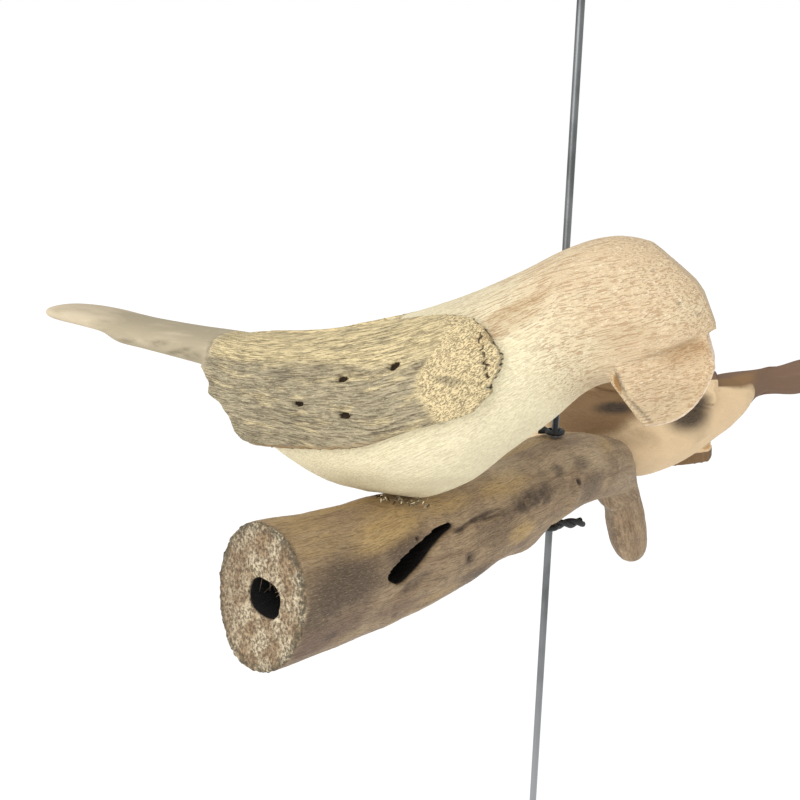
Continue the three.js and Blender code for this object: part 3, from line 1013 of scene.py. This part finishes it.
def cutter(bm):
    """The pith hole and the knot's hollow, to be taken out of the wood."""
    def pith(x):
        wide = 1 + 0.10 * np.sin(x / 3.1)
        return -5.2 * wide, 5.3 * wide, 7.4 * wide

    verts = long_form(bm, SAWN_END - 40, SAWN_END + PITH_DEPTH, pith, 60, 80, blunt=4, square=2.6)
    bmesh.ops.translate(bm, verts=verts, vec=(0, PITH_ASIDE, 0))
    verts = long_form(bm, *KNOT_ENDS, KNOT, 60, 80, blunt=8)
    bmesh.ops.translate(bm, verts=verts, vec=(0, KNOT_SIDE, 0))


def cut_by_planes(mesh):
    """Saws the end off and pares a flat where the far bird sits."""
    bm = bmesh.new()
    bm.from_mesh(mesh)
    seat_up = FAR_SEAT.col[2].to_3d()
    for point, normal in (((SAWN_END, 0, 0), (-1, 0, SAW_LEAN)), (FAR_FOOT, seat_up)):
        geom = bm.verts[:] + bm.edges[:] + bm.faces[:]
        halves = bmesh.ops.bisect_plane(bm, geom=geom, plane_co=point, plane_no=normal, clear_outer=True)
        rim = [g for g in halves["geom_cut"] if isinstance(g, bmesh.types.BMEdge)]
        bmesh.ops.edgenet_fill(bm, edges=rim)
    bmesh.ops.recalc_face_normals(bm, faces=bm.faces)
    bm.to_mesh(mesh)
    bm.free()
    return mesh


def limb_block():
    bm = bmesh.new()
    trunk(bm)
    stub(bm)
    voxel = VOXEL * 0.95
    joined = sanded(weld(solid_from(bm, "limb_form"), voxel), 120, about=CROTCH, reach=21)
    whole = cut_by_planes(joined)
    bm = bmesh.new()
    cutter(bm)
    tool = solid_from(bm, "holes")
    bpy.context.scene.collection.objects.link(tool)
    wood = bpy.data.objects.new("limb_block", whole)
    cut = wood.modifiers.new("holes", "BOOLEAN")
    cut.operation, cut.solver, cut.object = "DIFFERENCE", "EXACT", tool
    again = wood.modifiers.new("voxels", "REMESH")
    again.mode, again.voxel_size = "VOXEL", voxel
    mesh = evaluated(wood)
    bpy.data.objects.remove(tool)
    return sanded(mesh, 1)


# %% [markdown]
# ## Weathering the limb
# Water and sand leave long shallow furrows along the grain, a dip below the knot and a crease that runs on
# from its tip. The sawn end is rough, end grain torn by a coarse saw. How deep a vertex lies under the
# trunk's original surface tells where the holes are, and there the holes are painted near black: painted
# shade for their depth.

# %% Reading the limb
LIMB_RADIUS = 19  # roughly
LIMB_PER_DEGREE = 0.35  # millimetres round the limb, roughly
PITH_HALF_WIDTH, PITH_HALF_HEIGHT = 7.6, 5.6


def read_limb(mesh):
    """What is known of each vertex. Sawn, hollow, pith, deep and body are shares from 0 to 1."""
    w = SimpleNamespace()
    w.p, w.n = arrays(mesh)
    w.x, w.z = w.p[:, 0].copy(), w.p[:, 2].copy()
    my, mz, hy, hz = LIMB(np.clip(w.x, -153, 62))
    across, rise = (w.p[:, 1] - my) / hy, (w.z - mz) / hz
    w.angle, w.reach = np.degrees(np.arctan2(rise, -across)), np.hypot(rise, across)
    w.under = (1 - w.reach) * LIMB_RADIUS
    w.on_cut = w.x - SAW_LEAN * w.z - SAWN_END
    w.sawn = 1 - step(w.on_cut, 0.5, 1.3)
    w.hollow = (1 - w.sawn) * step(w.under, 0.8, 2.6) * step(-w.x, 70, 76) * (1 - step(w.z, 12, 14))
    off_axis = np.hypot((w.p[:, 1] - PITH_ASIDE) / PITH_HALF_WIDTH, w.z / PITH_HALF_HEIGHT)
    w.pith = 1 - step(off_axis, 0.98, 1.12)
    w.deep = w.pith * (w.reach < 0.6) * step(-w.x, 90, 100)
    w.near = w.p[:, 1] < 0
    w.body = (1 - w.sawn) * (1 - w.hollow) * (1 - w.deep)
    return w


# %% Relief of the limb
PINHOLES = [[-99.1, 8.9, 1.1], [-77.6, -3.4, 1.2], [-10, 6.1, 1.3], [-45, 6.4, 0.9]]  # x, height, radius


def relieve_limb(w, mesh):
    along = np.stack([w.x, w.angle * LIMB_PER_DEGREE, w.reach * 6], axis=1)
    furrow = wander(along, np.array([30, 3.5, 4]), 3)
    dents = wander(w.p, 13, 4)
    grit = wander(w.p, 1.7, 5)
    off_crease = np.abs(w.z - 6.8 - 0.5 * np.sin(w.x / 3))
    w.crease = w.near * step(w.x, -84, -80) * (1 - step(w.x, -60, -54)) * (1 - step(off_crease, 0.2, 1.1))
    below_knot = w.near * np.exp(-((w.x + 102) / 9) ** 2 - ((w.z + 4) / 3.2) ** 2)
    ridge = w.near * np.exp(-((w.x + 13 - 0.6 * w.z) / 3) ** 2) * (1 - step(np.abs(w.z), 9, 14))
    w.pin = np.zeros_like(w.x)
    for px, pz, wide in PINHOLES:
        away = np.hypot(w.x - px, w.z - pz)
        w.pin = np.maximum(w.pin, w.near * (1 - step(away, 0.3 * wide, wide)))
    flat = 0.8 * step(w.z, 15.6, 16.4) * (np.abs(w.x - NEAR_FOOT[0]) < 14)  # the near bird sits here
    sink = 0.35 * furrow + 0.55 * dents + 0.08 * grit + 0.7 * w.crease + 0.9 * w.pin
    sink = sink + 0.9 * below_knot - 0.7 * ridge
    torn_grain = 0.5 * grit + 0.3 * wander(w.p, 4, 6)
    sink = w.body * (1 - flat) * sink + w.sawn * (1 - w.pith) * torn_grain
    w.p -= w.n * sink[:, None]
    mesh.vertices.foreach_set("co", w.p.ravel())


# %% [markdown]
# ## Stains and painted shade of the limb
# Tides and soil left soot, straw gold, mauve grey and pink in long patches. The soot tone also paints shade
# in the crease, in the pinholes, round the lip of the knot's hollow and in the dip below the knot. The
# patches are tables again, one for each tone, because a noise would put them anywhere. The far side of the
# limb follows simpler rules: gold above, mauve below.

# %% Stains and painted shade: rows of x, height, half length, half height, strength, tilt in degrees
SOOT_AND_SHADE = [
    [-53.7, 6, 7, 2.0, 0.7, 0],
    [-41, 6.8, 19, 3.2, 0.85, 5],
    [-31, 6.2, 7, 3.2, 0.7, 10],
    [-46, -9, 6, 3, 0.4, 0],
    [-18, 11.6, 4, 2.6, 0.6, 0],
    [-10, 6.1, 1.6, 1.5, 1.0, 0],
    [-2.7, 11.3, 7, 2.8, 0.55, 0],
    [-77.6, -3.4, 3.4, 2.4, 0.7, 0],
    [-72, -12, 8, 3.5, 0.45, 0],
    # Painted shade in the dip below the knot.
    [-102, -3.5, 9, 2.4, 0.6, 12],
    [-135, -10, 3, 2, 0.5, 0],
    # Painted shade along the crease that runs on from the knot.
    [-66, 7.2, 12, 1.0, 0.9, 2],
]
GOLD = [
    [-49, -2.4, 9, 4, 1.0, 5],
    [-18.6, -8, 7, 3, 0.5, 0],
    [-49, 12.6, 16, 3.2, 0.9, 0],
    [-79, 14, 14, 3.2, 1.0, 0],
    [-108, 13.6, 20, 4.2, 0.95, 4],
    [-134, 17, 12, 5, 0.5, 0],
    [22, 13, 9, 3.2, 0.6, 0],
    [-88, -13, 14, 2.4, 0.5, 0],
]
MAUVE = [
    [-131, 4.5, 20, 10, 1.0, 4],
    [-106, 8, 12, 5.5, 0.9, 12],
    [-62, 1, 13, 6, 0.4, 0],
    [0, 1, 11, 7, 0.7, 20],
    [-141, 0, 13, 8.5, 1.0, 0],
    [-70, -13, 12, 5, 0.6, 0],
]
PINK = [
    [-134, -8, 16, 6, 0.9, 6],
    [-112, -10, 12, 4, 0.6, 0],
    [-141, -11, 11, 8, 1.0, 0],
    [-109.5, -13, 2.0, 1.8, 1.0, 0],
]
WORN = [
    [-44, 15.5, 17, 3.6, 1.0, 0],
    [-14, 13.5, 14, 3.4, 0.6, 0],
    [6, 10.5, 13, 5.5, 0.9, -8],
    [-118, -13, 12, 3, 0.5, 0],
]


def mark_limb(w, mesh):
    swirl = w.angle * LIMB_PER_DEGREE + 1.5 * wander(w.p, 18, 7)
    flow = np.stack([w.x, swirl, w.z * w.sawn + w.reach * 6], axis=1)
    on_stub = (w.x > 48) & (w.z < -24 + 0.3 * (w.x - 48))
    flow[on_stub] = np.stack([-w.z, w.x + 0.45 * w.z, w.p[:, 1]], axis=1)[on_stub]
    mark(mesh, "grain", flow)
    mark(mesh, "sawn", w.sawn)
    mark(mesh, "rim", step(w.reach, 0.84, 0.95) * w.sawn)
    # Painted shade: the knot's hollow and the deep part of the pith hole are painted near black.
    mark(mesh, "dark", np.clip(np.maximum(w.hollow, w.deep * step(w.on_cut, 0.8, 4)), 0, 1))
    # Painted shade in the soot mark: round the lip of the knot's hollow (hem), in the crease and in the
    # pinholes.
    hem = step(w.under, 0.7, 2.0) * (1 - w.sawn) * (1 - w.hollow) * step(-w.x, 74, 78) * w.near
    soot_and_shade = np.maximum.reduce([spots(w.p, -1, SOOT_AND_SHADE), 0.9 * w.crease, w.pin, 0.6 * hem])
    mark(mesh, "soot_and_shade", np.clip(soot_and_shade, 0, 1))
    mark(mesh, "gold", np.maximum(spots(w.p, -1, GOLD), 0.7 * (~w.near) * step(w.z, 8, 16)) * w.body)
    mark(mesh, "mauve", np.maximum(spots(w.p, -1, MAUVE), 0.6 * (~w.near) * step(-w.z, -8, 6)) * w.body)
    mark(mesh, "pink", spots(w.p, -1, PINK) * w.body + w.sawn * step(w.p[:, 1], 2, 15))
    mark(mesh, "worn", spots(w.p, -1, WORN) * w.body)


def weather_limb(mesh):
    w = read_limb(mesh)
    relieve_limb(w, mesh)
    mark_limb(w, mesh)
    print("weathered", len(w.p), "vertices")
    return mesh


def pith_fibre(dice):
    """A fibre that hangs across the mouth of the pith hole."""
    turn = dice.uniform(0.4, 2.6)
    foot = Vector((SAWN_END + dice.uniform(3, 16), PITH_ASIDE + 7.0 * math.cos(turn), 5.0 * math.sin(turn)))
    along = dice.uniform(-0.25, 0.1)
    across = dice.uniform(0.25, 0.9) * -math.cos(turn) + 0.3
    away = Vector((along, across, -0.5)).normalized()
    return foot, away, dice.uniform(4, 8), dice.uniform(0.12, 0.3), 0.9


# %% [markdown]
# ## Driftwood
# The limb is browner than the birds and stained in long bands: straw-gold along the top, mauve-grey on the
# flank, pinkish brown below. The sawn end shows thousands of cut vessels, pale with dark holes, which is a
# cell pattern rather than a streak.

# %% Long sides of the limb
def weathered_side(f, grain, mottle, hairs):
    blotch = f.noise(f.place(), (0.016, 0.012, 0.012), 3)
    bands = f.noise(grain, (34, 3.4, 4), 4, 0.6)
    streaks = f.noise(grain, (12, 0.8, 3), 3, 0.6)
    fuzz = f.noise(grain, (1.3, 0.36, 3), 2, 0.7)
    color = f.mix(f.step(bands, 0.35, 0.65), paint(172, 148, 116), paint(146, 122, 94))
    color = f.mix(f.step(mottle, 0.45, 0.65) * 0.4, color, paint(120, 102, 82))
    worn = f.mark("worn") * f.step(blotch + 0.3 * bands, 0.35, 0.65)
    color = f.mix(worn * 0.9, color, paint(190, 168, 134))
    mauve = f.mark("mauve") * f.step(blotch + 0.3 * mottle, 0.28, 0.56)
    color = f.mix(mauve * 0.92, color, paint(92, 77, 63))
    pink = f.mark("pink") * f.step(blotch + 0.2 * bands, 0.26, 0.52)
    color = f.mix(pink * 0.9, color, paint(114, 91, 75))
    gold = f.mark("gold") * f.step(bands + 0.3 * streaks, 0.40, 0.70)
    color = f.mix(gold * 0.95, color, paint(190, 160, 108))
    color = f.mix(f.step(streaks, 0.52, 0.70) * 0.45, color, paint(104, 84, 62))
    color = f.mix(hairs * 0.36, color, paint(84, 66, 48))
    color = f.mix(f.step(fuzz, 0.53, 0.68) * 0.26, color, paint(204, 182, 148))
    color = f.mix(f.step(fuzz, 0.45, 0.30) * 0.30, color, paint(82, 66, 50))
    # Soot stains, and painted shade in the crease, the pinholes, round the hollow's lip and in the dip below
    # the knot.
    soot_and_shade = f.mark("soot_and_shade") * (0.75 + 0.3 * f.step(mottle, 0.4, 0.6))
    return f.mix(soot_and_shade, color, paint(70, 56, 44)), fuzz


# %% Sawn end of the limb
def sawn_end(f, vessels, speck):
    cloud = f.noise(f.place(), (0.007,) * 3, 3)
    end = f.mix(f.step(cloud, 0.35, 0.65), paint(206, 192, 162), paint(154, 130, 100))
    end = f.mix(f.mark("pink") * 0.45, end, paint(118, 94, 68))
    end = f.mix(f.step(vessels, 0.62, 0.15) * 0.65, end, paint(112, 92, 70))
    end = f.mix(f.step(speck, 0.44, 0.60) * 0.80, end, paint(92, 74, 56))
    end = f.mix(f.step(speck, 0.36, 0.22) * 0.7, end, paint(244, 236, 214))
    return f.mix(f.mark("rim") * f.step(speck, 0.34, 0.52) * 0.75, end, paint(84, 78, 62))


# %% Finish of the limb
VESSEL = 0.0012  # metres between two vessels


def limb_finish():
    f = Finish("driftwood", Roughness=0.7, Specular_IOR_Level=0.35)
    grain, sawn, dark = f.mark("grain", "Vector"), f.mark("sawn"), f.mark("dark")
    mottle = f.noise(f.place(), (0.005,) * 3, 3, 0.6)
    hairs = f.step(f.noise(grain, (4, 0.35, 3), 2, 0.6), 0.48, 0.66)
    in_vessels = f.stretched(f.place(), (VESSEL,) * 3)
    vessels = f.node("ShaderNodeTexVoronoi", {}, {"Vector": in_vessels, "Scale": 1.0})
    speck = f.noise(f.place(), (0.0011,) * 3, 3, 0.75)
    side, fuzz = weathered_side(f, grain, mottle, hairs)
    color = f.mix(sawn, side, sawn_end(f, vessels, speck))
    # Painted shade: the dark mark turns the hollow and the pith hole near black.
    color = f.mix(f.step(dark, 0.05, 0.75), color, paint(10, 7, 5))
    rough = 0.62 + 0.2 * sawn + 0.1 * hairs
    end_depth = 0.35 * speck - 0.3 * f.step(vessels, 0.5, 0.1)
    depth = end_depth * sawn + (0.08 * fuzz - 0.10 * hairs) * (1 - sawn)
    return f.done(color, rough, depth)


limb_mesh = fringe(weather_limb(limb_block()), 14, 9, "soot_and_shade", pith_fibre)
finish_piece(limb_mesh, "limb_driftwood", "limb", limb_finish())

# %% [markdown]
# ## Rod and wire
# The rod is straight drawn steel, its ends bent round to eyes. The two ties are soft black wire: a turn
# round the rod, then both ends twisted together. A curve with a round bevel is the natural way to make a
# bent bar. It becomes a mesh before it is placed.

# %% Bent bars
def bent_bar(paths, diameter, name, sides=6):
    data = bpy.data.curves.new(name, "CURVE")
    data.dimensions = "3D"
    data.bevel_depth = diameter / 2
    data.bevel_resolution = sides
    data.use_fill_caps = True
    for path in paths:
        line = data.splines.new("POLY")
        line.points.add(len(path) - 1)
        for point, place in zip(line.points, path):
            point.co = (*place, 1)
    return evaluated(bpy.data.objects.new(name, data))


ROD = 3.0
EYE_GAP, LOW_EYE_GAP = 13, 8
EYE, LOW_EYE = (EYE_GAP + ROD) / 2, (LOW_EYE_GAP + ROD) / 2
EYE_AT = 296 - EYE_GAP / 2  # the part's origin, the inside top of the eye, is 296 above the crossing
BOTTOM = -190  # the middle of the bar under the lower eye
LOW_EYE_AT = BOTTOM + LOW_EYE


def eye(r, t):
    """An eye of radius r entered from below: a kick to one side and a turn back round to the neck."""
    kick = 0.18
    if t < kick:
        k = t / kick
        return -r * 0.72 * float(smooth(k)), -r * lerp(1.9, 0.694, k)
    turn = math.radians(lerp(226, -62, (t - kick) / (1 - kick)))
    return r * math.cos(turn), r * math.sin(turn)


def rod_path():
    turns = [i / 90 for i in range(91)]
    low = [eye(LOW_EYE, 1 - t) for t in turns]
    top = [eye(EYE, t) for t in turns]
    path = [(-x, 0, LOW_EYE_AT - z) for x, z in low]
    lowest, highest = LOW_EYE_AT + LOW_EYE * 1.9, EYE_AT - EYE * 1.9
    path += [(0, 0, lerp(lowest, highest, k / 40)) for k in range(1, 40)]
    return path + [(x, 0, EYE_AT + z) for x, z in top]


# %% Wire ties
RING = ROD / 2 + 0.3 + 1.1  # the rod, a hair of air and half the wire
STRANDS = 0.92  # how far each of the two twisted ends runs from their middle
TWIST = 0.40  # radians for each millimetre
OPENING = 0.35  # radians left open to each side of the ends


def tie_paths(height, heading, length, droop, riser, riser_at):
    """A ring round the rod, its ends twisted together towards heading, and a wire rising at riser_at."""
    turned = Matrix.Rotation(math.radians(heading), 3, "Z")
    paths = [[Vector((RING * math.cos(a), RING * math.sin(a), 0.25 * math.sin(a / 2)))
              for a in np.linspace(OPENING, 2 * math.pi - OPENING, 40)]]
    for start in (0, math.pi):
        strand = []
        for t, along in zip(np.linspace(-0.05, 1, 50), np.linspace(0, 1, 50)):
            turn = start + along * length * TWIST
            side, rise = STRANDS * math.cos(turn), STRANDS * math.sin(turn)
            strand.append(Vector((RING + t * length, side, rise - droop * t * length)))
        paths.append(strand)
    around = math.radians(riser_at)
    foot = Vector((math.cos(around), math.sin(around), 0)) * RING
    paths.append([foot + Vector((0, 0, riser * t)) for t in np.linspace(0, 1, 8)])
    return [[turned @ q + Vector((0, 0, height)) for q in path] for path in paths]


# %% [markdown]
# ## Steel and varnish
# Steel is a metal, so it takes its look from what it mirrors. Faint scratches along the bar change its
# roughness, and its grey is uneven and a little brighter towards the lower end. A flat grey would look like
# paint. The wire's black coating is a dark varnish, slightly worn.

# %% Metal finishes
def steel_finish():
    f = Finish("dark_steel", Metallic=1.0)
    draw = f.noise(f.place(), (0.0004, 0.0004, 0.03), 3)
    stain = f.noise(f.place(), (0.01, 0.01, 0.02), 3)
    height = f.node("ShaderNodeSeparateXYZ", {}, {"Vector": f.place()}, "Z")
    color = f.mix(f.step(stain, 0.4, 0.7), paint(124, 126, 127), paint(100, 102, 102))
    color = f.mix(f.step(height, -0.34, -0.46), color, paint(158, 160, 162))
    return f.done(color, 0.30 + 0.14 * draw + 0.08 * stain, draw * 0.03)


def wire_finish():
    f = Finish("black_wire", Specular_IOR_Level=0.4)
    wear = f.noise(f.place(), (0.002,) * 3, 3)
    return f.done(f.mix(wear, paint(16, 18, 20), paint(34, 36, 38)), 0.42 + 0.2 * wear, wear * 0.05)


varnish = wire_finish()
finish_piece(bent_bar([rod_path()], ROD, "rod_bar", 10), "rod_steel", "rod", steel_finish())
upper = tie_paths(height=20.4, heading=98, length=4.5, droop=0, riser=9, riser_at=116)
finish_piece(bent_bar(upper, 2.2, "upper_tie"), "upper_tie_wire", "upper_wire_tie", varnish)
lower = tie_paths(height=-21, heading=-8, length=18, droop=0.18, riser=1.5, riser_at=180)
finish_piece(bent_bar(lower, 2.6, "lower_tie"), "lower_tie_wire", "lower_wire_tie", varnish)

# %% [markdown]
# ## A plain studio
# A hanging thing needs air under it, so the pale floor lies well below. It glows very little, just enough
# to meet the white world without a line. The light is one very wide sun, to the left behind the camera and
# about 22 degrees up, and the world itself, a little dimmer as light than as background: soft shadows,
# nothing to distract.

# %% Floor and light
FLOOR, FLOOR_RADIUS = -1.6, 30
GLOW = 0.05
SUN, SUN_WIDTH = 1.75, math.radians(50)
SUN_LEFT, SUN_BACK, SUN_UP = 0.75, 0.85, 0.25  # the way to the sun
WORLD_LIGHT, WORLD_SEEN = 0.80, 1.0
WHITE = (1, 1, 1, 1)


def studio_floor():
    bm = bmesh.new()
    bmesh.ops.create_circle(bm, cap_ends=True, segments=96, radius=FLOOR_RADIUS)
    bmesh.ops.translate(bm, verts=bm.verts, vec=(0, 0, FLOOR))
    mesh = bpy.data.meshes.new("floor")
    bm.to_mesh(mesh)
    bm.free()
    whites = {"Base_Color": WHITE, "Emission_Color": WHITE, "Emission_Strength": GLOW}
    f = Finish("pale_floor", Roughness=0.9, Specular_IOR_Level=0.0, **whites)
    mesh.materials.append(f.material)
    floor = bpy.data.objects.new("floor", mesh)
    bpy.context.scene.collection.objects.link(floor)
    print("floor at", FLOOR)


def studio_light():
    lamp = bpy.data.lights.new("key", "SUN")
    lamp.energy = SUN
    lamp.angle = SUN_WIDTH
    key = bpy.data.objects.new("key", lamp)
    towards = -level * SUN_LEFT - forward * SUN_BACK + Vector((0, 0, SUN_UP))
    key.rotation_mode = "QUATERNION"
    key.rotation_quaternion = towards.to_track_quat("Z", "Y")
    bpy.context.scene.collection.objects.link(key)
    world = bpy.data.worlds.new("studio")
    world.use_nodes = True
    nodes, links = world.node_tree.nodes, world.node_tree.links
    nodes["Background"].inputs["Color"].default_value = WHITE
    seen = nodes.new("ShaderNodeLightPath")
    brightness = nodes.new("ShaderNodeMapRange")
    brightness.inputs["To Min"].default_value = WORLD_LIGHT
    brightness.inputs["To Max"].default_value = WORLD_SEEN
    links.new(seen.outputs["Is Camera Ray"], brightness.inputs["Value"])
    links.new(brightness.outputs["Result"], nodes["Background"].inputs["Strength"])
    bpy.context.scene.world = world
    bpy.context.scene.view_settings.view_transform = "Standard"
    print("sun", SUN, "world", WORLD_LIGHT)


studio_floor()
studio_light()
